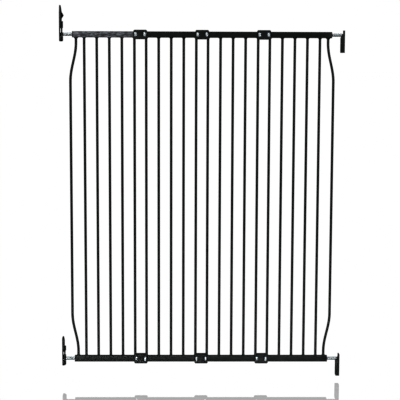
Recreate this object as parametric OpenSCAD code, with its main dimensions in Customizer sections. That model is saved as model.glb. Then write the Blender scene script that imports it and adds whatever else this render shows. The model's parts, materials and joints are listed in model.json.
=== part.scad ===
// Wide wire pet gate: four barred panels joined by clamps, hung on lift-off hinges at the
// left wall and resting in two catches on the right wall.
// +X points to the catch side, +Y to the far side and +Z up. X = 0 is the middle of the
// opening, Y = 0 the middle of the gate's thickness, Z = 0 the foot of the lower catch.

/* [Opening and panels] */
// Width of each of the two middle panels
middle_panel_w = 190; // [180:1:200]
// Width of each of the two end panels
end_panel_w = 208.5; // [206:0.5:220]
// Gap between each end of the gate and its wall
wall_gap = 39; // [38:0.5:44]
// Height from the underside of the lower rail to the top of the upper rail
gate_h = 1035; // [700:5:1300]
// Height of the lower rail's centre line above the foot of the lower catch
low_axis_z = 54; // [54:0.5:70]

/* [Rails] */
// Height of the rail tube
rail_h = 19; // [19:0.5:22]
// Depth of the rail tube
rail_d = 15; // [15:0.5:16]
// Wall thickness of the rail tube
rail_wall = 1.5; // [1.2:0.1:1.6]
// Corner radius of the rail tube
rail_r = 2; // [1.8:0.1:2.5]

/* [Bars] */
// Diameter of the vertical bars
bar_d = 8; // [6:0.5:8]
// Straight bars in each panel
bars_per_panel = 5; // [3:1:6]
// Distance from a panel joint to the nearest bar
joint_bar_x = 18; // [17:0.5:18.5]
// Distance from the last straight bar to the end bar, at the rails
end_bar_x = 25; // [20:0.5:26]
// Outward jog of the end bar
end_bar_jog = 18; // [8:0.5:19]
// Upright length of the end bar next to each rail
end_bar_start = 15; // [5:1:30]
// Height over which the end bar makes its jog
end_bar_bend_h = 120; // [80:5:200]

/* [Clamps] */
// Length of a clamp along the rail
clamp_w = 41.5; // [41:0.5:46]
// Height of a clamp
clamp_h = 29; // [28:0.5:32]
// Depth of a clamp, front to back
clamp_d = 22; // [21.5:0.5:23]
// Distance from a panel joint to each clamp bolt
bolt_x = 14; // [12:0.5:14]
// Width of the oblong bolt head
bolt_head_w = 7.6; // [7:0.1:9]
// Height of the oblong bolt head
bolt_head_h = 15; // [12:0.5:16]

/* [Spindles and hinges] */
// Diameter of the threaded spindles
spindle_d = 10; // [9:0.5:10]
// Length of spindle inside the rail
spindle_in_rail = 45; // [40:1:60]
// Distance from the wall to the hinge axis
hinge_x = 7; // [7:0.1:8.5]
// Diameter of the hinge pins
pin_d = 5; // [4:0.1:5]
// Width of the hinge brackets
bracket_w = 28; // [28:0.5:32]
// Thickness of the hinge brackets
bracket_t = 6.2; // [6:0.1:6.8]
// Travel of the gate when it is lifted out of the catches
lift_h = 12; // [10:0.5:12]

/* [Catches] */
// Width of the catches
catch_w = 23; // [23:0.5:26]
// Distance that a catch stands out from the wall
catch_t = 11.5; // [9:0.5:12]
// Length of a catch below the spindle's centre line
catch_drop = 54; // [50:1:54]
// Length of a catch above the spindle's centre line
catch_rise = 14.2; // [12:0.2:16]

/* [Hidden] */
$fn = 48;

coat = [0.10, 0.10, 0.11];
plastic = [0.07, 0.07, 0.07];
zinc = [0.72, 0.73, 0.74];
nylon = [0.85, 0.84, 0.80];

// Main places
half_opening = middle_panel_w + end_panel_w + wall_gap;
gate_half_w = middle_panel_w + end_panel_w;
high_axis_z = low_axis_z + gate_h - rail_h;
joint_xs = [-middle_panel_w, 0, middle_panel_w];
bar_low_z = low_axis_z + rail_h / 2;
bar_high_z = high_axis_z - rail_h / 2;
bar_pitch = (middle_panel_w - 2 * joint_bar_x) / (bars_per_panel - 1);
last_bar_x = 2 * middle_panel_w - joint_bar_x;
hinge_axis_x = hinge_x - half_opening;

// Rings in each jog of the end bars, and sides of their outline
jog_steps = 18;
bar_sides = 16;

// Clearances
panel_gap = 0.5;
shell_gap = 0.3;
rail_fit = 0.1;
slip = 0.05;
eps = 1;

// End plugs, inserts and joiners
plug_flange_t = 2;
plug_len = 20;
insert_len = 9;
joiner_half_len = 30;
joiner_fit = 0.2;
joiner_wall = 2;

// Bolts and nuts
bolt_r = 3;
bolt_hole_r = 3.2;
head_depth = 1.6;
head_t = 3.6;
nut_af = 10;
nut_t = 3.2;
nut_depth = 2.2;
bolt_end_y = 13.5;

// Clamp outline
clamp_corner = 3;
clamp_edge = 1.2;

// Hinge hardware, with heights measured from the spindle's centre line
bush_wall = 0.9;
eye_half_h = 5.2;
eye_len = 5.2;
eye_neck_r = 3;
eye_neck_x = 4.1;
bush_flange_t = 0.7;
bush_flange_r = 4.2;
spacer_top = 11.5;
knuckle_r = 4.3;
knuckle_top = -6;
notch_t = 1.7;
bracket_low = -22;
bracket_corner = 8;
foot_h = 3;
top_notch = eye_half_h + lift_h + 0.5;
top_knuckle = 39.5;
top_plate = 88.6;
top_point = 24;
top_tip_w = 6;
bottom_notch = 24;
bottom_knuckle = 40;
bottom_plate = 70;
bottom_point = 8;
bottom_tip_w = 12;
taper_h = 14;
taper_t = 4.6;

// Screw holes to the wall
screw_r = 2.25;
screw_head_r = 3.8;
bracket_screw_y = 9.2;
bracket_screw_z = [-12, 44];
catch_screw_z = [-18, -44];

// Lock slider on the upper bracket
lock_slot_w = 8;
lock_groove_w = 11;
lock_lip_x = 4.2;
lock_front_x = 7.4;
lock_low = 39.8;
lock_high = 70;
lock_travel = 8;
lock_tab_low = 47.5;
lock_tab_peak = 57;
lock_tab_high = 67.5;
lock_tab_x = 13;
lock_tab_w = 12;

// Catches
catch_plate_t = 3.6;
cheek_high = 4.5;
cheek_low = -8;
cradle_r = spindle_d / 2 + 0.3;
tip_gap = 0.5;
tip_taper = 5;
tip_r = 3;

// Stretch a flat outline drawn in Y and Z along X
module along_x(len) {
    rotate([90, 0, 90]) linear_extrude(len) children();
}

// Stretch a flat outline drawn in X and Z along Y, both ways from the middle
module along_y(depth) {
    rotate([90, 0, 0]) linear_extrude(depth, center = true) children();
}

// Cylinder along X, from x0 to x1
module rod_x(r, x0, x1) {
    translate([x0, 0, 0]) rotate([0, 90, 0]) cylinder(r = r, h = x1 - x0);
}

// Cylinder along Y, from y0 to y1
module rod_y(r, y0, y1) {
    translate([0, y0, 0]) rotate([-90, 0, 0]) cylinder(r = r, h = y1 - y0);
}

// Rectangle with round corners, w across and h high
module round_rect(w, h, r) {
    square([w - 2 * r, h], center = true);
    square([w, h - 2 * r], center = true);
    for (sx = [-1, 1], sy = [-1, 1])
        translate([sx * (w / 2 - r), sy * (h / 2 - r)]) circle(r = r);
}

// Oblong with round ends, w across and h high
module oblong(w, h) {
    square([w, h - w], center = true);
    for (s = [-1, 1]) translate([0, s * (h - w) / 2]) circle(r = w / 2);
}

// One rail tube from x0 to x1, with cross holes for the clamp bolts
module rail(x0, x1, z, hole_xs) {
    color(coat) difference() {
        translate([x0, 0, z]) along_x(x1 - x0) difference() {
            round_rect(rail_d, rail_h, rail_r);
            round_rect(rail_d - 2 * rail_wall, rail_h - 2 * rail_wall, rail_r - rail_wall);
        }
        for (x = hole_xs) translate([x, 0, z]) rod_y(bolt_hole_r, -rail_d, rail_d);
    }
}

// The rail of panel 1 to 4, counted from the hinge side
module panel_rail(panel, z) {
    end_x = gate_half_w - plug_flange_t;
    x0 = panel == 1 ? -end_x : joint_xs[panel - 2] + panel_gap;
    x1 = panel == 4 ? end_x : joint_xs[panel - 1] - panel_gap;
    left_holes = panel == 1 ? [] : [joint_xs[panel - 2] + bolt_x];
    right_holes = panel == 4 ? [] : [joint_xs[panel - 1] - bolt_x];
    rail(x0, x1, z, concat(left_holes, right_holes));
}

// The straight bars of panel 1 to 4
module panel_bars(panel) {
    first_x = (panel - 3) * middle_panel_w + joint_bar_x;
    color(coat) for (i = [0 : bars_per_panel - 1])
        translate([first_x + i * bar_pitch, 0, bar_low_z])
            cylinder(d = bar_d, h = bar_high_z - bar_low_z);
}

// Outward offset of the end bar at a share of its jog, from 0 to 1
function jog_at(share) = end_bar_jog * (1 - cos(180 * share)) / 2;

// End bar of the right-hand panel: one round bar that jogs outward between the rails.
// It is a stack of level rings, and its centre line is upright at both ends of each jog.
module end_bar() {
    steps = [for (i = [0 : jog_steps]) i / jog_steps];
    low_z = bar_low_z + end_bar_start;
    high_z = bar_high_z - end_bar_start;
    low = [for (t = steps) [jog_at(t), 0, low_z + t * end_bar_bend_h]];
    high = [for (t = steps) [jog_at(1 - t), 0, high_z - (1 - t) * end_bar_bend_h]];
    path = concat([[0, 0, bar_low_z]], low, high, [[0, 0, bar_high_z]]);
    rings = len(path);
    n = bar_sides;
    points = [
        for (p = path, k = [0 : n - 1])
            p + bar_d / 2 * [cos(360 * k / n), sin(360 * k / n), 0]
    ];
    sides = [
        for (i = [0 : rings - 2], k = [0 : n - 1]) let (next = (k + 1) % n)
            [i * n + k, (i + 1) * n + k, (i + 1) * n + next, i * n + next]
    ];
    ends = [[for (k = [0 : n - 1]) k], [for (k = [0 : n - 1]) rings * n - 1 - k]];
    color(coat) translate([last_bar_x + end_bar_x, 0, 0])
        polyhedron(points = points, faces = concat(sides, ends));
}

// Outer form of one clamp shell. side is -1 for the front and 1 for the back. The corners
// away from the bars are cut off, and so are the edges of the outer face.
module clamp_form(side) {
    w = clamp_w / 2;
    h = clamp_h / 2;
    d = clamp_d / 2;
    c = clamp_corner;
    e = clamp_edge;
    intersection() {
        along_y(clamp_d) polygon([
            [-w, -h + e], [-w + e, -h], [w - e, -h], [w, -h + e],
            [w, h - c], [w - c, h], [-w + c, h], [-w, h - c]
        ]);
        translate([-w, 0, 0]) along_x(clamp_w) polygon([
            [side * shell_gap, -h], [side * (d - e), -h], [side * d, -h + e],
            [side * d, h - e], [side * (d - e), h], [side * shell_gap, h]
        ]);
        translate([0, 0, -h]) linear_extrude(clamp_h) polygon([
            [-w, side * shell_gap], [-w, side * (d - e)], [-w + e, side * d],
            [w - e, side * d], [w, side * (d - e)], [w, side * shell_gap]
        ]);
    }
}

// One clamp shell, drawn for the upper rail with the bars leaving downwards
module clamp_shell(side) {
    d = clamp_d / 2;
    color(plastic) difference() {
        clamp_form(side);
        translate([-clamp_w, 0, 0]) along_x(2 * clamp_w)
            round_rect(rail_d + 2 * rail_fit, rail_h + 2 * rail_fit, rail_r);
        for (s = [-1, 1]) {
            translate([s * joint_bar_x, 0, -clamp_h]) cylinder(r = bar_d / 2 + 0.15, h = clamp_h);
            translate([s * bolt_x, 0, 0]) {
                rod_y(bolt_hole_r + rail_fit, -clamp_d, clamp_d);
                if (side < 0)
                    translate([0, head_depth / 2 - d - eps / 2, 0]) along_y(head_depth + eps)
                        oblong(bolt_head_w + 0.3, bolt_head_h + 0.3);
                if (side > 0)
                    translate([0, d - nut_depth, 0]) rotate([-90, 0, 0])
                        cylinder(d = (nut_af + 0.3) / cos(30), h = nut_depth + eps, $fn = 6);
            }
        }
    }
}

module top_clamp(joint, side) {
    translate([joint_xs[joint - 1], 0, high_axis_z]) clamp_shell(side);
}

module bottom_clamp(joint, side) {
    translate([joint_xs[joint - 1], 0, low_axis_z]) mirror([0, 0, 1]) clamp_shell(side);
}

// Two bolts, nuts or other pieces at each clamp, at height z
module at_bolts(z) {
    for (x = joint_xs, s = [-1, 1]) translate([x + s * bolt_x, 0, z]) children();
}

// Clamp bolt with an oblong head on the front
module clamp_bolt() {
    seat_y = head_depth - clamp_d / 2;
    color(zinc) {
        rod_y(bolt_r, seat_y, bolt_end_y);
        translate([0, seat_y - head_t / 2, 0]) along_y(head_t) oblong(bolt_head_w, bolt_head_h);
    }
}

// Hexagon nut in the back of a clamp
module clamp_nut() {
    seat_y = clamp_d / 2 - nut_depth;
    color(zinc) translate([0, seat_y, 0]) rotate([-90, 0, 0]) difference() {
        cylinder(d = nut_af / cos(30), h = nut_t, $fn = 6);
        translate([0, 0, -eps]) cylinder(r = bolt_r + slip, h = nut_t + 2 * eps);
    }
}

// Steel sleeve inside both rails at each panel joint
module rail_joiners(z) {
    w = rail_d - 2 * rail_wall - 2 * joiner_fit;
    h = rail_h - 2 * rail_wall - 2 * joiner_fit;
    color(zinc) for (x = joint_xs) translate([x, 0, z]) difference() {
        translate([-joiner_half_len, 0, 0]) along_x(2 * joiner_half_len) difference() {
            square([w, h], center = true);
            square([w - 2 * joiner_wall, h - 2 * joiner_wall], center = true);
        }
        for (s = [-1, 1]) translate([s * bolt_x, 0, 0]) rod_y(bolt_hole_r, -rail_d, rail_d);
    }
}

// Moulded plug in the right-hand end of a rail, with a bore for the spindle
module end_plug() {
    w = rail_d - 2 * rail_wall - 2 * rail_fit;
    h = rail_h - 2 * rail_wall - 2 * rail_fit;
    color(plastic) difference() {
        union() {
            translate([gate_half_w - plug_len, 0, 0]) along_x(plug_len - plug_flange_t / 2)
                square([w, h], center = true);
            translate([gate_half_w - plug_flange_t, 0, 0]) along_x(plug_flange_t)
                round_rect(rail_d, rail_h, rail_r);
        }
        rod_x(spindle_d / 2 + 0.1, gate_half_w - plug_len - eps, gate_half_w + eps);
    }
}

// Tapped steel block behind a plug, which the spindle screws into
module insert() {
    w = rail_d - 2 * rail_wall - 2 * rail_fit;
    h = rail_h - 2 * rail_wall - 2 * rail_fit;
    x0 = gate_half_w - plug_len - insert_len;
    color(zinc) difference() {
        translate([x0, 0, 0]) along_x(insert_len) square([w, h], center = true);
        rod_x(spindle_d / 2 + slip, x0 - eps, x0 + insert_len + eps);
    }
}

// Place a piece drawn for the right-hand end at the left or the right, at height z
module at_end(side, z) {
    translate([0, 0, z]) mirror([side < 0 ? 1 : 0, 0, 0]) children();
}

// Hinge spindle: a threaded rod with an eye that turns on the hinge bush
module hinge_spindle(z) {
    color(zinc) translate([hinge_axis_x, 0, z]) {
        rod_x(spindle_d / 2, eye_len, wall_gap - hinge_x + spindle_in_rail);
        rod_x(eye_neck_r, eye_neck_x, eye_len + 0.1);
    }
}

// Moulded eye on the end of a hinge spindle, with its bore for the bush
module hinge_eye(z) {
    color(plastic) translate([hinge_axis_x, 0, z]) difference() {
        union() {
            rod_x(spindle_d / 2, 0, eye_len);
            translate([0, 0, -eye_half_h]) cylinder(d = spindle_d, h = 2 * eye_half_h);
        }
        translate([0, 0, -2 * eye_half_h])
            cylinder(r = pin_d / 2 + 2 * slip + bush_wall, h = 4 * eye_half_h);
        rod_x(eye_neck_r, eye_neck_x, eye_len + eps);
    }
}

// Latch spindle: a threaded rod whose tip lies in a catch
module latch_spindle(z) {
    tip_x = half_opening - catch_plate_t - tip_gap;
    color(zinc) translate([0, 0, z]) {
        rod_x(spindle_d / 2, gate_half_w - spindle_in_rail, tip_x - tip_taper);
        translate([tip_x - tip_taper, 0, 0]) rotate([0, 90, 0])
            cylinder(r1 = spindle_d / 2, r2 = tip_r, h = tip_taper);
    }
}

// Flanged nylon bush between a hinge pin and a spindle's eye
module hinge_bush(z) {
    flange_z = -eye_half_h - slip - bush_flange_t;
    color(nylon) translate([hinge_axis_x, 0, z]) difference() {
        union() {
            translate([0, 0, flange_z]) cylinder(r = bush_flange_r, h = bush_flange_t);
            translate([0, 0, flange_z])
                cylinder(r = pin_d / 2 + slip + bush_wall, h = eye_half_h - flange_z);
        }
        translate([0, 0, flange_z - eps]) cylinder(r = pin_d / 2 + slip, h = 4 * eye_half_h);
    }
}

// Spacer ring above the lower hinge's eye
module bottom_hinge_spacer() {
    z0 = low_axis_z + eye_half_h + slip;
    color(plastic) translate([hinge_axis_x, 0, z0]) difference() {
        cylinder(r = knuckle_r, h = spacer_top - eye_half_h - slip);
        translate([0, 0, -eps]) cylinder(r = pin_d / 2 + slip, h = spacer_top);
    }
}

// Outline of a hinge bracket as seen from the opening: round lower corners, tapered top
module bracket_face(high, point_len, tip_w) {
    w = bracket_w;
    r = bracket_corner;
    shoulder = high - point_len;
    translate([-w / 2 + r, bracket_low]) square([w - 2 * r, shoulder - bracket_low]);
    translate([-w / 2, bracket_low + r]) square([w, shoulder - bracket_low - r]);
    for (s = [-1, 1]) translate([s * (w / 2 - r), bracket_low + r]) circle(r = r);
    polygon([[-w / 2, shoulder], [w / 2, shoulder], [tip_w / 2, high], [-tip_w / 2, high]]);
}

// Outline of a hinge bracket from the side, wall at X = 0: thin behind the spindle's eye,
// and thinning to its top
module bracket_side(notch_high, high) {
    t = bracket_t;
    polygon([
        [0, bracket_low + foot_h], [0.5, bracket_low + 1], [notch_t, bracket_low],
        [t, bracket_low], [t, knuckle_top],
        [notch_t, knuckle_top], [notch_t, notch_high], [t, notch_high], [t, high - taper_h],
        [taper_t, high - 1.5], [taper_t - 1.5, high], [1.5, high], [0, high - 2]
    ]);
}

// Blunt foot under a knuckle, with its lower end at height z
module knuckle_foot(z, foot_r) {
    translate([hinge_x, 0, z]) cylinder(r1 = foot_r, r2 = knuckle_r, h = foot_h);
    translate([notch_t, -foot_r, z]) cube([hinge_x - notch_t, 2 * foot_r, foot_h]);
}

// Knuckle round the hinge pin, from height z0 to z1
module knuckle(z0, z1) {
    translate([hinge_x, 0, z0]) cylinder(r = knuckle_r, h = z1 - z0);
    translate([0, -knuckle_r, z0]) cube([hinge_x, 2 * knuckle_r, z1 - z0]);
}

// Countersunk hole for a wall screw. The head sits at X = face_x.
module screw_hole(face_x) {
    rod_x(screw_r, -eps, face_x + eps);
    translate([face_x - screw_head_r + screw_r, 0, 0]) rotate([0, 90, 0])
        cylinder(r1 = screw_r, r2 = screw_head_r, h = screw_head_r - screw_r);
    rod_x(screw_head_r, face_x, face_x + 10);
}

// A hinge bracket with its back at X = 0 and the spindle's centre line at Z = 0
module hinge_bracket(notch_high, knuckle_high, high, point_len, tip_w) {
    difference() {
        union() {
            intersection() {
                along_y(bracket_w) bracket_side(notch_high, high);
                along_x(2 * bracket_t) bracket_face(high, point_len, tip_w);
            }
            knuckle_foot(bracket_low, knuckle_r - 2.5);
            knuckle(bracket_low + foot_h, knuckle_top);
            knuckle_foot(notch_high, knuckle_r - 1.2);
            knuckle(notch_high + foot_h, knuckle_high);
        }
        translate([hinge_x, 0, bracket_low + 2])
            cylinder(r = pin_d / 2 + slip, h = knuckle_high - bracket_low);
        for (z = bracket_screw_z, s = [-1, 1])
            translate([0, s * bracket_screw_y, z]) screw_hole(bracket_t);
    }
}

// Slot for the lock slider: a narrow front and a wide groove that is open to the wall
module lock_slot() {
    h = lock_high + lock_travel + 0.6 - top_knuckle;
    translate([-eps, -lock_groove_w / 2, top_knuckle])
        cube([lock_lip_x + eps, lock_groove_w, h]);
    translate([0, -lock_slot_w / 2, top_knuckle]) cube([2 * bracket_t, lock_slot_w, h]);
}

module top_hinge_bracket() {
    color(plastic) translate([-half_opening, 0, high_axis_z]) difference() {
        hinge_bracket(top_notch, top_knuckle, top_plate, top_point, top_tip_w);
        lock_slot();
    }
}

module bottom_hinge_bracket() {
    color(plastic) translate([-half_opening, 0, low_axis_z])
        hinge_bracket(bottom_notch, bottom_knuckle, bottom_plate, bottom_point, bottom_tip_w);
}

// Hinge pin that stands in the blind foot of the lower knuckle
module hinge_pin(z, high) {
    foot = bracket_low + 2;
    color(coat) translate([hinge_axis_x, 0, z + foot]) cylinder(d = pin_d, h = high - foot);
}

// Slider that covers the upper pin, with a ridge for the thumb
module hinge_lock_slider() {
    gap = 2 * slip;
    neck_w = lock_slot_w - 2 * gap;
    color(plastic) translate([-half_opening, 0, high_axis_z]) {
        translate([lock_lip_x - 2, -lock_groove_w / 2 + gap, lock_low])
            cube([2 - gap, lock_groove_w - 2 * gap, lock_high - lock_low]);
        translate([lock_lip_x - 2, -neck_w / 2, lock_low])
            cube([lock_front_x - lock_lip_x + 2, neck_w, lock_high - lock_low]);
        along_y(lock_tab_w) polygon([
            [lock_front_x, lock_tab_low], [lock_tab_x, lock_tab_peak - 0.8],
            [lock_tab_x, lock_tab_peak + 0.8], [lock_front_x, lock_tab_high]
        ]);
    }
}

// Catch with its back at X = 0, drawn for a left-hand wall
module catch_piece() {
    color(plastic) difference() {
        union() {
            translate([0, -catch_w / 2, -catch_drop])
                cube([catch_plate_t, catch_w, catch_drop + catch_rise]);
            along_y(catch_w) polygon([
                [0, -catch_drop], [catch_t, -catch_drop], [catch_t, cheek_low],
                [catch_plate_t, cheek_high], [0, cheek_high]
            ]);
        }
        rod_x(cradle_r, catch_plate_t, catch_t + eps);
        translate([catch_plate_t, -cradle_r, 0]) cube([catch_t, 2 * cradle_r, catch_rise]);
        for (z = catch_screw_z) translate([0, 0, z]) screw_hole(catch_t);
    }
}

module catch_at(z) {
    translate([half_opening, 0, z]) mirror([1, 0, 0]) catch_piece();
}

top_hinge_bracket();
bottom_hinge_bracket();
hinge_pin(high_axis_z, top_knuckle);  // top_hinge_pin
hinge_pin(low_axis_z, bottom_knuckle);  // bottom_hinge_pin
hinge_lock_slider();
hinge_bush(high_axis_z);  // top_hinge_bush
hinge_bush(low_axis_z);  // bottom_hinge_bush
bottom_hinge_spacer();
hinge_spindle(high_axis_z);  // top_hinge_spindle
hinge_spindle(low_axis_z);  // bottom_hinge_spindle
hinge_eye(high_axis_z);  // top_hinge_eye
hinge_eye(low_axis_z);  // bottom_hinge_eye
latch_spindle(high_axis_z);  // top_latch_spindle
latch_spindle(low_axis_z);  // bottom_latch_spindle
catch_at(high_axis_z);  // top_catch
catch_at(low_axis_z);  // bottom_catch
panel_rail(1, high_axis_z);  // panel_1_top_rail
panel_rail(2, high_axis_z);  // panel_2_top_rail
panel_rail(3, high_axis_z);  // panel_3_top_rail
panel_rail(4, high_axis_z);  // panel_4_top_rail
panel_rail(1, low_axis_z);  // panel_1_bottom_rail
panel_rail(2, low_axis_z);  // panel_2_bottom_rail
panel_rail(3, low_axis_z);  // panel_3_bottom_rail
panel_rail(4, low_axis_z);  // panel_4_bottom_rail
panel_bars(1);  // panel_1_bars
panel_bars(2);  // panel_2_bars
panel_bars(3);  // panel_3_bars
panel_bars(4);  // panel_4_bars
mirror([1, 0, 0]) end_bar();  // left_end_bar
end_bar();  // right_end_bar
top_clamp(1, -1);  // clamp_1_top_front
top_clamp(2, -1);  // clamp_2_top_front
top_clamp(3, -1);  // clamp_3_top_front
top_clamp(1, 1);  // clamp_1_top_rear
top_clamp(2, 1);  // clamp_2_top_rear
top_clamp(3, 1);  // clamp_3_top_rear
bottom_clamp(1, -1);  // clamp_1_bottom_front
bottom_clamp(2, -1);  // clamp_2_bottom_front
bottom_clamp(3, -1);  // clamp_3_bottom_front
bottom_clamp(1, 1);  // clamp_1_bottom_rear
bottom_clamp(2, 1);  // clamp_2_bottom_rear
bottom_clamp(3, 1);  // clamp_3_bottom_rear
at_bolts(high_axis_z) clamp_bolt();  // top_clamp_bolts
at_bolts(low_axis_z) clamp_bolt();  // bottom_clamp_bolts
at_bolts(high_axis_z) clamp_nut();  // top_clamp_nuts
at_bolts(low_axis_z) clamp_nut();  // bottom_clamp_nuts
rail_joiners(high_axis_z);  // top_rail_joiners
rail_joiners(low_axis_z);  // bottom_rail_joiners
at_end(-1, high_axis_z) end_plug();  // top_left_end_plug
at_end(1, high_axis_z) end_plug();  // top_right_end_plug
at_end(-1, low_axis_z) end_plug();  // bottom_left_end_plug
at_end(1, low_axis_z) end_plug();  // bottom_right_end_plug
at_end(-1, high_axis_z) insert();  // top_left_insert
at_end(1, high_axis_z) insert();  // top_right_insert
at_end(-1, low_axis_z) insert();  // bottom_left_insert
at_end(1, low_axis_z) insert();  // bottom_right_insert
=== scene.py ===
"""Looks of the wide wire pet gate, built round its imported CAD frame. Metres throughout."""
import json
import math

import bmesh
import bpy
from mathutils import Matrix, Vector, noise


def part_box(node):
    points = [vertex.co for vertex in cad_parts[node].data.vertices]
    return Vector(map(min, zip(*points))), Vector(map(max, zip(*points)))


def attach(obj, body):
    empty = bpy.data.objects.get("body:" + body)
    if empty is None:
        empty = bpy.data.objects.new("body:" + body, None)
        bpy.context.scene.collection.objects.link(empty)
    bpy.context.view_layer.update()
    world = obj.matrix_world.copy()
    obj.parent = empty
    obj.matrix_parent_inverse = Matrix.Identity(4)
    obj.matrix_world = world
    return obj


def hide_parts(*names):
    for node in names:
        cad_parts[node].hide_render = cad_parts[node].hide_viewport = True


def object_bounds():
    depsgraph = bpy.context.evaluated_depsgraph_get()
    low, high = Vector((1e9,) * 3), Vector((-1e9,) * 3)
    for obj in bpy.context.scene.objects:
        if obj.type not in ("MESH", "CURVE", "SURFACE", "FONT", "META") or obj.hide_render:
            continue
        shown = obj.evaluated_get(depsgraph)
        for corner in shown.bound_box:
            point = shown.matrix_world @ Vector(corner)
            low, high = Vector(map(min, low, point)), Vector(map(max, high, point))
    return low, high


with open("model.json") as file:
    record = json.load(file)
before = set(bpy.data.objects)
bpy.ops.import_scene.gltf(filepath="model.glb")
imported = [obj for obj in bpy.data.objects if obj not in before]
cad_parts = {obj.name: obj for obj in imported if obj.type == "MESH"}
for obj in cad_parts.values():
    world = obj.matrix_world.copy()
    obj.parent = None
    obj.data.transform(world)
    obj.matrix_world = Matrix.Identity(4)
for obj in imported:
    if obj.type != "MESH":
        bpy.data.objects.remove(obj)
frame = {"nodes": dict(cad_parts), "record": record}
cad_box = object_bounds()

MM = 0.001
scene = bpy.context.scene
body_of_node = {n: b for b, nodes in frame["record"]["behaviour"]["bodies"].items() for n in nodes}
slot_of_node = {s["node"]: s["material_slot"] for s in frame["record"]["subparts"]}

# ---------------------------------------------------------------- shader helpers


class Shader:
    """A node material with a Principled surface, and short ways to add to it."""

    def __init__(self, name, colour, roughness, metallic=0.0, specular=0.5):
        self.material = bpy.data.materials.new(name)
        self.material.use_nodes = True
        self.nodes = self.material.node_tree.nodes
        self.links = self.material.node_tree.links
        self.surface = self.nodes["Principled BSDF"]
        self.surface.inputs["Base Color"].default_value = (*colour, 1)
        self.surface.inputs["Roughness"].default_value = roughness
        self.surface.inputs["Metallic"].default_value = metallic
        self.surface.inputs["Specular IOR Level"].default_value = specular
        self.place = self.nodes.new("ShaderNodeTexCoord").outputs["Object"]

    def stretched(self, scale):
        """The object's coordinates, scaled on each axis."""
        mapping = self.nodes.new("ShaderNodeMapping")
        mapping.inputs["Scale"].default_value = scale
        self.links.new(self.place, mapping.inputs["Vector"])
        return mapping.outputs["Vector"]

    def noise(self, size, detail=2.0, rough=0.5, place=None):
        """Noise whose features are about size metres across."""
        tex = self.nodes.new("ShaderNodeTexNoise")
        tex.inputs["Scale"].default_value = 1 / size
        tex.inputs["Detail"].default_value = detail
        tex.inputs["Roughness"].default_value = rough
        self.links.new(place or self.place, tex.inputs["Vector"])
        return tex.outputs["Fac"]

    def cells(self, size):
        """Distance to the nearest point of cells about size metres across."""
        tex = self.nodes.new("ShaderNodeTexVoronoi")
        tex.inputs["Scale"].default_value = 1 / size
        self.links.new(self.place, tex.inputs["Vector"])
        return tex.outputs["Distance"]

    def ramp(self, value, stops):
        """A colour ramp from (position, colour) stops."""
        node = self.nodes.new("ShaderNodeValToRGB")
        elements = node.color_ramp.elements
        while len(elements) < len(stops):
            elements.new(1.0)
        for element, (position, colour) in zip(elements, stops):
            element.position = position
            element.color = (*colour, 1)
        self.links.new(value, node.inputs["Fac"])
        return node.outputs["Color"]

    def span(self, value, low, high, start=0.3, end=0.7):
        """value between start and end, spread over low to high."""
        node = self.nodes.new("ShaderNodeMapRange")
        limits = {"From Min": start, "From Max": end, "To Min": low, "To Max": high}
        for name, number in limits.items():
            node.inputs[name].default_value = number
        self.links.new(value, node.inputs["Value"])
        return node.outputs["Result"]

    def mix(self, share, one, two, kind="MIX"):
        """Two colours mixed by a share."""
        node = self.nodes.new("ShaderNodeMix")
        node.data_type = "RGBA"
        node.blend_type = kind
        self.links.new(share, node.inputs["Factor"])
        self.links.new(one, node.inputs["A"])
        self.links.new(two, node.inputs["B"])
        return node.outputs["Result"]

    def set(self, name, output):
        """Drives an input of the surface from an output."""
        self.links.new(output, self.surface.inputs[name])

    def bump(self, height, depth, strength, under=None):
        """Bump from a height output, depth metres deep, on top of another normal."""
        node = self.nodes.new("ShaderNodeBump")
        node.inputs["Distance"].default_value = depth
        node.inputs["Strength"].default_value = strength
        self.links.new(height, node.inputs["Height"])
        if under:
            self.links.new(under, node.inputs["Normal"])
        self.links.new(node.outputs["Normal"], self.surface.inputs["Normal"])
        return node.outputs["Normal"]


def powder_coat():
    """Black satin powder coat: soft orange peel, faint cloudiness, and a few pale dots painted
    into its colour as glints (painted highlight).
    """
    s = Shader("black_powder_coat", (0.005, 0.006, 0.006), 0.42, specular=0.22)
    clouds = s.noise(0.030, 3.0)
    tone = s.ramp(clouds, [(0.30, (0.0055, 0.0066, 0.0065)), (0.70, (0.0110, 0.0130, 0.0126))])
    # Pale dots painted into the base colour as glints: a painted highlight.
    painted_glints = s.span(s.noise(0.0016, 1.0), 0.0, 1.0, 0.70, 0.78)
    pale = s.ramp(painted_glints, [(0.0, (0.016, 0.018, 0.018)), (1.0, (0.036, 0.038, 0.038))])
    s.set("Base Color", s.mix(painted_glints, tone, pale))
    s.set("Roughness", s.span(s.noise(0.006, 2.0), 0.36, 0.50))
    peel = s.bump(s.noise(0.0022, 2.0), 0.00012, 0.55)
    s.bump(s.noise(0.0006, 1.0), 0.00003, 0.4, peel)
    return s.material


def mottled_grey():
    """Dark grey, mottled with paler streaks, with no marks on it."""
    s = Shader("mottled_grey", (0.06, 0.062, 0.065), 0.45, specular=0.45)
    streaks = s.noise(0.006, 4.0, 0.65, s.stretched((0.55, 1.0, 1.3)))
    tone = s.ramp(streaks, [
        (0.34, (0.014, 0.015, 0.017)),
        (0.50, (0.055, 0.058, 0.064)),
        (0.66, (0.185, 0.190, 0.205)),
    ])
    fine = s.ramp(s.noise(0.0013, 2.0), [(0.35, (0.5, 0.5, 0.5)), (0.65, (1.0, 1.0, 1.0))])
    s.set("Base Color", s.mix(s.span(streaks, 0.3, 0.8), tone, fine, "MULTIPLY"))
    s.set("Roughness", s.span(s.noise(0.004), 0.35, 0.6))
    s.bump(s.noise(0.0016, 2.0), 0.00006, 0.5)
    return s.material


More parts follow.
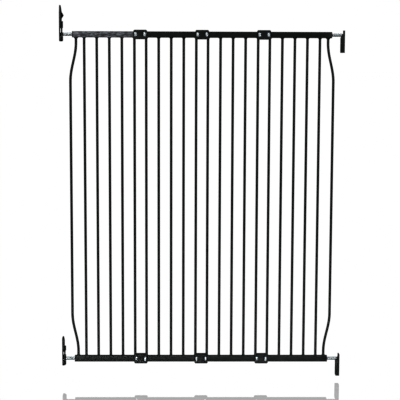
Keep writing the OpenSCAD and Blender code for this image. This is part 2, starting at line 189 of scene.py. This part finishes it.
def moulded_plastic():
    """Black moulded nylon with a fine spark-eroded grain and slightly paler rubbed patches."""
    s = Shader("black_moulded_plastic", (0.006, 0.007, 0.007), 0.5, specular=0.28)
    rubbed = s.noise(0.012, 4.0, 0.6)
    s.set("Base Color", s.ramp(rubbed, [
        (0.35, (0.0055, 0.0066, 0.0067)),
        (0.62, (0.0105, 0.0122, 0.0124)),
        (0.75, (0.018, 0.0205, 0.0208)),
    ]))
    s.set("Roughness", s.span(rubbed, 0.56, 0.42))
    grain = s.bump(s.cells(0.00055), 0.00005, 0.7)
    s.bump(s.noise(0.0030, 3.0), 0.00006, 0.35, grain)
    return s.material


def zinc_plate():
    """Bright zinc plate: metal with faint draw lines, clouding and a warm and cool cast."""
    s = Shader("bright_zinc", (0.72, 0.74, 0.76), 0.28, metallic=1.0)
    cast = s.noise(0.009, 3.0)
    tone = s.ramp(cast, [
        (0.30, (0.56, 0.63, 0.66)),
        (0.52, (0.72, 0.78, 0.80)),
        (0.72, (0.72, 0.75, 0.73)),
    ])
    dull = s.ramp(s.noise(0.0022, 3.0, 0.6), [(0.40, (0.72, 0.72, 0.72)), (0.60, (1.0, 1.0, 1.0))])
    s.set("Base Color", s.mix(s.span(cast, 0.4, 0.9), tone, dull, "MULTIPLY"))
    lines = s.noise(0.0012, 2.0, 0.5, s.stretched((0.08, 1.0, 1.0)))
    s.set("Roughness", s.span(lines, 0.38, 0.54))
    s.bump(lines, 0.00002, 0.5)
    return s.material


def natural_nylon():
    """Off-white nylon of the bushes, slightly yellowed and waxy."""
    s = Shader("natural_nylon", (0.78, 0.76, 0.69), 0.38, specular=0.45)
    s.set("Base Color", s.ramp(s.noise(0.004, 3.0), [
        (0.35, (0.70, 0.67, 0.58)), (0.65, (0.82, 0.80, 0.74))
    ]))
    s.set("Roughness", s.span(s.noise(0.0015), 0.30, 0.48))
    s.bump(s.noise(0.0008, 2.0), 0.00003, 0.5)
    return s.material


coat = powder_coat()
mottled_grey_material = mottled_grey()
plastic = moulded_plastic()
zinc = zinc_plate()
nylon = natural_nylon()
material_of_slot = {
    "black_coated_steel": coat,
    "black_plastic": plastic,
    "zinc_steel": zinc,
    "nylon": nylon,
}

# ---------------------------------------------------------------- mesh helpers

SMOOTH_ANGLE = math.radians(38)
AXIS_X = Vector((1, 0, 0))
AXIS_Y = Vector((0, 1, 0))
AXIS_Z = Vector((0, 0, 1))


def add_piece(name, bm, node, material=None):
    """Makes bm an object that replaces node and moves with its body."""
    bmesh.ops.recalc_face_normals(bm, faces=bm.faces)
    mesh = bpy.data.meshes.new(name)
    bm.to_mesh(mesh)
    bm.free()
    mesh.shade_smooth()
    mesh.set_sharp_from_angle(angle=SMOOTH_ANGLE)
    piece = bpy.data.objects.new(name, mesh)
    scene.collection.objects.link(piece)
    mesh.materials.append(material or material_of_slot[slot_of_node[node]])
    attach(piece, body_of_node[node])
    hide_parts(node)
    return piece


def add_rings(bm, rings, caps=True):
    """Skins a list of rings of points, each with the same number of points."""
    loops = [[bm.verts.new(p) for p in ring] for ring in rings]
    n = len(loops[0])
    for low, high in zip(loops, loops[1:]):
        for k in range(n):
            nxt = (k + 1) % n
            bm.faces.new((low[k], low[nxt], high[nxt], high[k]))
    if caps:
        bm.faces.new(loops[0])
        bm.faces.new(loops[-1])


def circle(centre, radius, n, across=AXIS_X, up=AXIS_Y):
    """n points round centre in the plane of across and up. radius may be a function of k."""
    points = []
    for k in range(n):
        a = 2 * math.pi * k / n
        r = radius(k) if callable(radius) else radius
        points.append(centre + r * (math.cos(a) * across + math.sin(a) * up))
    return points


def smooth_step(t):
    """Rises from 0 to 1 along half a cosine."""
    t = min(max(t, 0.0), 1.0)
    return (1 - math.cos(math.pi * t)) / 2


# ---------------------------------------------------------------- rails

RAIL_CORNER = 2.0 * MM
RAIL_WALL = 1.5 * MM
RAIL_LIP = 0.35 * MM
ROLL_REACH = 0.1 * MM
ROLL_INSET = RAIL_LIP * 0.3
RAIL_LENGTHS = 8
CORNER_STEPS = 6
SMALLEST_CORNER = 0.4 * MM
SAME_RING = 1e-7


def rail_outline(half_y, half_z, radius, x, y, z):
    """Points of a round-cornered rectangle in the plane of Y and Z."""
    points = []
    for quarter, (sy, sz) in enumerate(((1, 1), (-1, 1), (-1, -1), (1, -1))):
        for i in range(CORNER_STEPS + 1):
            a = math.pi / 2 * (quarter + i / CORNER_STEPS)
            points.append(Vector((
                x, y + sy * (half_y - radius) + radius * math.cos(a),
                z + sz * (half_z - radius) + radius * math.sin(a),
            )))
    return points


def make_rail(node, material=None):
    """A rail tube with soft corners, slightly rolled cut ends and a hollow inside."""
    low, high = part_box(node)
    centre = (low + high) / 2
    half_y = (high.y - low.y) / 2
    half_z = (high.z - low.z) / 2
    lip = RAIL_LIP
    bm = bmesh.new()

    def ring(x, inset):
        corner = max(RAIL_CORNER - inset, SMALLEST_CORNER)
        return rail_outline(half_y - inset, half_z - inset, corner, x, centre.y, centre.z)

    stretch = [low.x + (high.x - low.x) * i / RAIL_LENGTHS for i in range(1, RAIL_LENGTHS)]
    outside = [ring(low.x, lip), ring(low.x + ROLL_REACH, ROLL_INSET), ring(low.x + lip, 0)]
    outside += [ring(x, 0) for x in stretch]
    outside += [ring(high.x - lip, 0), ring(high.x - ROLL_REACH, ROLL_INSET), ring(high.x, lip)]
    inside = [ring(high.x, RAIL_WALL - lip), ring(high.x - lip, RAIL_WALL)]
    inside += [ring(low.x + lip, RAIL_WALL), ring(low.x, RAIL_WALL - lip)]
    tube = outside + inside
    add_rings(bm, tube + [tube[0]], caps=False)
    bmesh.ops.remove_doubles(bm, verts=bm.verts, dist=SAME_RING)
    return add_piece(f"{node}_tube", bm, node, material)


# ---------------------------------------------------------------- bars

BAR_SIDES = 28
BAR_LENGTHS = 6
BEAD = 4.2 * MM
END_BEAD = 6.0 * MM
BEAD_ACROSS = 2.3 * MM
# Heights of the rings over a weld, as shares of its bead
BEAD_RINGS = (0, 0.08, 0.2, 0.36, 0.56, 0.78, 1.0)
# A bead is scaled by a mean and a ripple of noise, which is read round a circle of this radius
BEAD_MEAN = 0.9
BEAD_RIPPLE = 0.35
RIPPLE_ROUND = 3
# Each bar has its own noise: these spread the seeds over the bars, the panels and the two ends
SEED_PER_BAR = 7.3
SEED_PER_METRE = 40
SEED_OF_TOP = 50.0


def bead_radius(radius, height, k, seed, bead):
    """Radius of a bar at a height over its weld, with an uneven bead longest along the rail."""
    if height >= bead:
        return radius
    share = 1 - height / bead
    swell = 1 - math.sqrt(max(0.0, 1 - share * share))
    a = 2 * math.pi * k / BAR_SIDES
    reach = bead * math.cos(a) ** 2 + BEAD_ACROSS * math.sin(a) ** 2
    ripple = noise.noise(Vector((RIPPLE_ROUND * math.cos(a), RIPPLE_ROUND * math.sin(a), seed)))
    return radius + reach * swell * (BEAD_MEAN + BEAD_RIPPLE * ripple)


def bar_rings(low_z, high_z, centre_at, radius, heights, seed, bead):
    """Level rings up one bar, welded at both ends. centre_at gives X at a height."""
    rings = []
    for z in heights:
        foot = min(z - low_z, high_z - z)
        end_seed = seed if z - low_z < high_z - z else seed + SEED_OF_TOP
        rings.append(circle(
            Vector((centre_at(z), 0, z)),
            lambda k: bead_radius(radius, foot, k, end_seed, bead), BAR_SIDES,
        ))
    return rings


def bar_heights(low_z, high_z, between, bead):
    """Heights of a bar's rings: close over the welds, then the ones between."""
    near = [bead * t for t in BEAD_RINGS]
    return [low_z + h for h in near] + between + [high_z - h for h in reversed(near)]


def make_straight_bars(node, count):
    """The straight bars of a panel, each welded to both rails."""
    low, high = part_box(node)
    radius = (high.y - low.y) / 2
    pitch = (high.x - low.x - 2 * radius) / (count - 1)
    bm = bmesh.new()
    lengths = [t / BAR_LENGTHS for t in range(1, BAR_LENGTHS)]
    between = [low.z + (high.z - low.z) * share for share in lengths]
    heights = bar_heights(low.z, high.z, between, BEAD)
    for i in range(count):
        x = low.x + radius + i * pitch
        seed = SEED_PER_BAR * i + x * SEED_PER_METRE
        add_rings(bm, bar_rings(low.z, high.z, lambda z: x, radius, heights, seed, BEAD))
    return add_piece(f"{node}_welded", bm, node)


END_BAR_START = 15 * MM
END_BAR_BEND = 120 * MM
END_BAR_STEPS = 28
END_BAR_SEED = 91.0


def make_end_bar(node, side):
    """The bar at one end of the gate, which jogs outward between the rails."""
    low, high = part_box(node)
    radius = (high.y - low.y) / 2
    jog = high.x - low.x - 2 * radius
    start = (low.x if side > 0 else high.x) + side * radius

    def centre_at(z):
        from_rail = min(z - low.z, high.z - z) - END_BAR_START
        return start + side * jog * smooth_step(from_rail / END_BAR_BEND)

    first = low.z + END_BAR_START
    last = high.z - END_BAR_START
    bends = [END_BAR_BEND * i / END_BAR_STEPS for i in range(END_BAR_STEPS + 1)]
    between = [first + h for h in bends] + [last - h for h in reversed(bends)]
    bm = bmesh.new()
    heights = bar_heights(low.z, high.z, between, END_BEAD)
    seed = END_BAR_SEED * side
    add_rings(bm, bar_rings(low.z, high.z, centre_at, radius, heights, seed, END_BEAD))
    return add_piece(f"{node}_bent", bm, node)


# ---------------------------------------------------------------- pieces refined from the CAD

SHARP_ANGLE = math.radians(32)
FLAT_ANGLE = math.radians(0.5)
SAME_PLACE = 2e-6


def refine(node, width, segments=3):
    """The CAD piece with its flat faces joined up and its sharp edges rounded."""
    bm = bmesh.new()
    bm.from_mesh(frame["nodes"][node].data)
    bmesh.ops.remove_doubles(bm, verts=bm.verts, dist=SAME_PLACE)
    bmesh.ops.dissolve_limit(bm, angle_limit=FLAT_ANGLE, verts=bm.verts, edges=bm.edges)
    joined = [e for e in bm.edges if len(e.link_faces) == 2]
    edges = [e for e in joined if e.calc_face_angle(0) > SHARP_ANGLE]
    bmesh.ops.bevel(
        bm, geom=edges, offset=width, offset_type="OFFSET", segments=segments, profile=0.5,
        affect="EDGES", clamp_overlap=True, miter_outer="ARC",
    )
    return add_piece(f"{node}_moulded", bm, node)


# ---------------------------------------------------------------- threads

THREAD_PITCH = 1.5 * MM
THREAD_DEPTH = 0.65 * MM
THREAD_SIDES = 24
THREAD_STEPS = 10
# Shares of half a turn: the flat crest, and the flank down to the root
CREST_SHARE = 0.12
FLANK_SHARE = 0.80
ROD_CHAMFER = 0.9 * MM
TIP_CHAMFER = 0.4 * MM
TIP_TAPER = 5.0 * MM
TIP_R = 3.0 * MM
NECK_R = 3.0 * MM
NECK_LEN = 1.1 * MM


def thread_depth(turn):
    """Depth of the thread below its crest at a share of a turn: flat crest, round root."""
    t = abs((turn % 1.0) * 2 - 1)
    return THREAD_DEPTH * smooth_step((t - CREST_SHARE) / FLANK_SHARE)


def thread_rings(x0, x1, z, radius, taper=0.0, tip_r=0.0):
    """Rings of a screw thread along X with chamfered ends, the last one drawn in over a taper."""
    rings = []
    count = max(2, round((x1 - x0) / THREAD_PITCH * THREAD_STEPS))
    for i in range(count + 1):
        x = x0 + (x1 - x0) * i / count
        from_end = min(x - x0, x1 - x)
        fade = min(1.0, from_end / THREAD_PITCH)
        chamfer = min(0.0, from_end - ROD_CHAMFER)
        if x1 - x < taper:
            fade = 0.0
            drawn_in = (tip_r - radius) * (1 - (x1 - x) / taper)
            chamfer = drawn_in + min(0.0, x1 - x - TIP_CHAMFER)

        def radius_at(k):
            turn = (x - x0) / THREAD_PITCH + k / THREAD_SIDES
            return radius + chamfer - fade * thread_depth(turn)

        rings.append(circle(Vector((x, 0, z)), radius_at, THREAD_SIDES, AXIS_Y, AXIS_Z))
    return rings


def make_latch_spindle(node):
    """Threaded rod whose tip lies in a catch."""
    low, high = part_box(node)
    centre_z = (low.z + high.z) / 2
    radius = (high.y - low.y) / 2
    bm = bmesh.new()
    add_rings(bm, thread_rings(low.x, high.x, centre_z, radius, TIP_TAPER, TIP_R))
    return add_piece(f"{node}_threaded", bm, node)


def make_hinge_spindle(node):
    """Threaded rod that starts at its eye, with the neck that the eye is moulded on."""
    low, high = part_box(node)
    centre_z = (low.z + high.z) / 2
    radius = (high.y - low.y) / 2
    shoulder = low.x + NECK_LEN
    neck = [
        circle(Vector((x, 0, centre_z)), NECK_R, THREAD_SIDES, AXIS_Y, AXIS_Z)
        for x in (low.x, shoulder)
    ]
    bm = bmesh.new()
    add_rings(bm, neck + thread_rings(shoulder, high.x, centre_z, radius))
    return add_piece(f"{node}_threaded", bm, node)


# ---------------------------------------------------------------- bolts

BOLT_HEAD_W = 7.6 * MM
BOLT_HEAD_H = 15 * MM
BOLT_HEAD_T = 3.6 * MM
HEAD_END_STEPS = 14
HEAD_RIM = 0.3 * MM
HEAD_ROUND = 2.1 * MM
HEAD_ROUND_STEPS = 6
CROWN_DROP = 0.25 * MM
# Inset and rise of each ring of the low crown, in mm
CROWN_RINGS = ((2.4, 0.09), (2.7, 0.15), (3.0, 0.19), (3.3, 0.22), (3.6, 0.23))
SHANK_R = 3 * MM
SHANK_CHAMFER = 0.6 * MM
SHANK_SIDES = 24
# How far the shank reaches into the head
SHANK_SUNK = 0.2 * MM


def oblong_outline(x, y, z, half_w, half_h):
    """Points of an oblong with round ends, standing in the plane of X and Z."""
    straight = half_h - half_w
    points = []
    for end in (1, -1):
        for i in range(HEAD_END_STEPS + 1):
            a = math.pi * i / HEAD_END_STEPS + (0 if end > 0 else math.pi)
            points.append(Vector((
                x + half_w * math.cos(a), y, z + end * straight + half_w * math.sin(a)
            )))
    return points


def bolt_head_rings(x, z, front_y):
    """Rings of one pressed head from its seat to its crown, facing the front."""
    half_w = BOLT_HEAD_W / 2
    half_h = BOLT_HEAD_H / 2
    seat = front_y + BOLT_HEAD_T
    crown_y = front_y + CROWN_DROP

    def ring(y, inset):
        return oblong_outline(x, y, z, half_w - inset, half_h - inset)

    rings = [ring(seat, HEAD_RIM), ring(seat - HEAD_RIM, 0)]
    for i in range(HEAD_ROUND_STEPS + 1):
        a = math.pi / 2 * i / HEAD_ROUND_STEPS
        y = crown_y + HEAD_ROUND - HEAD_ROUND * math.sin(a)
        rings.append(ring(y, HEAD_ROUND * (1 - math.cos(a))))
    return rings + [ring(crown_y - rise * MM, inset * MM) for inset, rise in CROWN_RINGS]


def make_bolts(node, xs):
    """Clamp bolts with pressed oblong heads: soft rims and a low crown."""
    low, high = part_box(node)
    z = (low.z + high.z) / 2
    shank = [
        (low.y + BOLT_HEAD_T - SHANK_SUNK, SHANK_R),
        (high.y - SHANK_CHAMFER, SHANK_R),
        (high.y, SHANK_R - SHANK_CHAMFER),
    ]
    bm = bmesh.new()
    for x in xs:
        add_rings(bm, bolt_head_rings(x, z, low.y))
        add_rings(bm, [
            circle(Vector((x, y, z)), r, SHANK_SIDES, AXIS_X, AXIS_Z) for y, r in shank
        ])
    return add_piece(f"{node}_pressed", bm, node)


# ---------------------------------------------------------------- build the gate

BARS_PER_PANEL = 5
PANELS = (1, 2, 3, 4)
JOINTS = (1, 2, 3)
BOLT_X = 14 * MM

for level in ("top", "bottom"):
    for panel in PANELS:
        # The top rail of the first panel is coloured mottled grey, paler in streaks, all over.
        mottled_rail = (level, panel) == ("top", 1)
        make_rail(f"panel_{panel}_{level}_rail", mottled_grey_material if mottled_rail else None)
    for joint in JOINTS:
        for side in ("front", "rear"):
            refine(f"clamp_{joint}_{level}_{side}", 0.7 * MM)
    clamp_boxes = [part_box(f"clamp_{joint}_{level}_front") for joint in JOINTS]
    clamp_xs = [(low.x + high.x) / 2 for low, high in clamp_boxes]
    make_bolts(f"{level}_clamp_bolts", [x + s * BOLT_X for x in clamp_xs for s in (-1, 1)])
    refine(f"{level}_clamp_nuts", 0.3 * MM, 2)
    make_hinge_spindle(f"{level}_hinge_spindle")
    make_latch_spindle(f"{level}_latch_spindle")
    refine(f"{level}_hinge_eye", 0.5 * MM)
    refine(f"{level}_hinge_bracket", 0.8 * MM)
    refine(f"{level}_catch", 0.8 * MM)
    refine(f"{level}_hinge_pin", 0.6 * MM)
    refine(f"{level}_hinge_bush", 0.15 * MM, 2)
    refine(f"{level}_rail_joiners", 0.3 * MM, 2)
    for end in ("left", "right"):
        refine(f"{level}_{end}_end_plug", 0.4 * MM, 2)
        refine(f"{level}_{end}_insert", 0.3 * MM, 2)

for panel in PANELS:
    make_straight_bars(f"panel_{panel}_bars", BARS_PER_PANEL)
make_end_bar("left_end_bar", -1)
make_end_bar("right_end_bar", 1)
refine("hinge_lock_slider", 0.5 * MM)
refine("bottom_hinge_spacer", 0.3 * MM, 2)

# ---------------------------------------------------------------- floor, light and camera

FLOOR_DROP = 0.015
FLOOR_SIZE = 60.0
FLOOR_SHINE = 0.50
FLOOR_ROUGHNESS = 0.03
DOME_RADIUS = 48.0
SKY_COLOUR = (0.90, 0.97, 1.0)
SKY_LIGHT = 0.66
SKY_MIRRORED = 0.22
WHITE = (1, 1, 1)


def stage_mesh(name, bm, material, place):
    """Makes bm a part of the stage."""
    mesh = bpy.data.meshes.new(name)
    bm.to_mesh(mesh)
    bm.free()
    mesh.materials.append(material)
    obj = bpy.data.objects.new(name, mesh)
    obj.location = place
    scene.collection.objects.link(obj)
    return obj


def bare_material(name):
    """An empty material: gives it, its nodes, its links and its one node, the output."""
    material = bpy.data.materials.new(name)
    material.use_nodes = True
    tree = material.node_tree
    tree.nodes.clear()
    return material, tree.nodes, tree.links, tree.nodes.new("ShaderNodeOutputMaterial")


def glow_material(name):
    """Plain white light."""
    material, nodes, links, out = bare_material(name)
    glow = nodes.new("ShaderNodeEmission")
    glow.inputs["Strength"].default_value = 1.0
    links.new(glow.outputs[0], out.inputs["Surface"])
    return material


def floor_material():
    """Pale floor with a polished face, so that a faint reflection shows near the camera."""
    material, nodes, links, out = bare_material("pale_floor")
    glow = nodes.new("ShaderNodeEmission")
    glow.inputs["Strength"].default_value = 1.0
    shine = nodes.new("ShaderNodeBsdfGlossy")
    shine.inputs["Color"].default_value = (*WHITE, 1)
    shine.inputs["Roughness"].default_value = FLOOR_ROUGHNESS
    mix = nodes.new("ShaderNodeMixShader")
    mix.inputs["Fac"].default_value = FLOOR_SHINE
    links.new(glow.outputs[0], mix.inputs[1])
    links.new(shine.outputs[0], mix.inputs[2])
    links.new(mix.outputs[0], out.inputs["Surface"])
    return material


def make_stage():
    """A pale polished floor, and a white dome that only the floor's polish can see."""
    middle = (0, 0, cad_box[0].z - FLOOR_DROP)
    bm = bmesh.new()
    bmesh.ops.create_grid(bm, x_segments=8, y_segments=8, size=FLOOR_SIZE / 2)
    floor = stage_mesh("floor", bm, floor_material(), middle)
    floor.visible_diffuse = False
    floor.visible_glossy = False
    bm = bmesh.new()
    bmesh.ops.create_uvsphere(bm, u_segments=48, v_segments=24, radius=DOME_RADIUS)
    dome = stage_mesh("white_dome", bm, glow_material("white_dome"), middle)
    dome.visible_camera = False
    dome.visible_diffuse = False
    dome.visible_shadow = False
    only_floor = bpy.data.collections.new("lit_by_the_dome")
    only_floor.objects.link(floor)
    dome.light_linking.receiver_collection = only_floor
    return floor


def make_world():
    """White for the camera, and two dim greys: one to light the object, one for it to mirror."""
    world = bpy.data.worlds.new("studio")
    world.use_nodes = True
    scene.world = world
    tree = world.node_tree
    tree.nodes.clear()

    def sky(colour, strength):
        node = tree.nodes.new("ShaderNodeBackground")
        node.inputs["Color"].default_value = (*colour, 1)
        node.inputs["Strength"].default_value = strength
        return node.outputs[0]

    def choose(share, one, two):
        node = tree.nodes.new("ShaderNodeMixShader")
        for socket, output in zip(node.inputs, (share, one, two)):
            tree.links.new(output, socket)
        return node.outputs[0]

    path = tree.nodes.new("ShaderNodeLightPath").outputs
    lit = sky(SKY_COLOUR, SKY_LIGHT)
    mirrored = sky(SKY_COLOUR, SKY_MIRRORED)
    unseen = choose(path["Is Glossy Ray"], lit, mirrored)
    shown = choose(path["Is Camera Ray"], unseen, sky(WHITE, 1.0))
    out = tree.nodes.new("ShaderNodeOutputWorld")
    tree.links.new(shown, out.inputs["Surface"])


def add_softbox(name, place, target, size, watts, spread, receivers):
    """A rectangular light aimed at target, which lights only the receivers."""
    light = bpy.data.lights.new(name, "AREA")
    light.shape = "RECTANGLE"
    light.size, light.size_y = size
    light.energy = watts
    light.spread = math.radians(spread)
    obj = bpy.data.objects.new(name, light)
    obj.location = place
    aim = Vector(target) - Vector(place)
    obj.rotation_euler = aim.to_track_quat("-Z", "Y").to_euler()
    obj.visible_camera = False
    obj.light_linking.receiver_collection = receivers
    scene.collection.objects.link(obj)


GATE_MIDDLE = (0, 0, 0.55)
GATE_FOOT = (-0.1, 0, 0.04)
# Name, place, target, size, watts and spread in degrees
SOFTBOXES = (
    ("key_softbox", (-1.9, -2.6, 2.4), GATE_MIDDLE, (1.6, 1.6), 104, 180),
    ("fill_softbox", (2.4, -2.2, 1.3), GATE_MIDDLE, (1.2, 1.8), 40, 180),
    ("back_softbox", (0.6, 2.2, 3.2), GATE_MIDDLE, (2.0, 1.2), 34, 180),
    ("low_softbox", (-0.5, -1.7, 0.10), GATE_FOOT, (2.2, 0.3), 2.2, 30),
)


def make_lights(floor):
    """Softboxes round the gate. The floor is left out, so that its polish shows no lamps."""
    receivers = bpy.data.collections.new("all_but_the_floor")
    receivers.objects.link(floor)
    receivers.collection_objects[0].light_linking.link_state = "EXCLUDE"
    for softbox in SOFTBOXES:
        add_softbox(*softbox, receivers)


CAMERA_PLACE = (-0.0643, -4.0427, 1.0767)
CAMERA_PITCH = math.radians(7.3)
CAMERA_YAW = math.radians(0.84)
CAMERA_ROLL = math.radians(0.205)
CAMERA_LENS = 117.7


def make_camera():
    """The camera at its place, turned by pitch, yaw and a slight roll."""
    data = bpy.data.cameras.new("camera")
    data.lens = CAMERA_LENS
    data.sensor_width = 36
    data.clip_end = 200
    forward = Vector((
        math.sin(CAMERA_YAW) * math.cos(CAMERA_PITCH),
        math.cos(CAMERA_YAW) * math.cos(CAMERA_PITCH),
        -math.sin(CAMERA_PITCH),
    ))
    level = Vector((math.cos(CAMERA_YAW), -math.sin(CAMERA_YAW), 0))
    up = level.cross(forward)
    right = math.cos(CAMERA_ROLL) * level + math.sin(CAMERA_ROLL) * up
    up = right.cross(forward)
    turn = Matrix((right, up, -forward)).transposed().to_4x4()
    camera = bpy.data.objects.new("camera", data)
    camera.matrix_world = Matrix.Translation(CAMERA_PLACE) @ turn
    scene.collection.objects.link(camera)
    scene.camera = camera


# A display gamma below 1 darkens the mid-tones, so that thin bars read as dark as in the photo.
DISPLAY_GAMMA = 0.7

pale_floor = make_stage()
make_world()
make_lights(pale_floor)
make_camera()
scene.view_settings.view_transform = "Standard"
scene.view_settings.gamma = DISPLAY_GAMMA
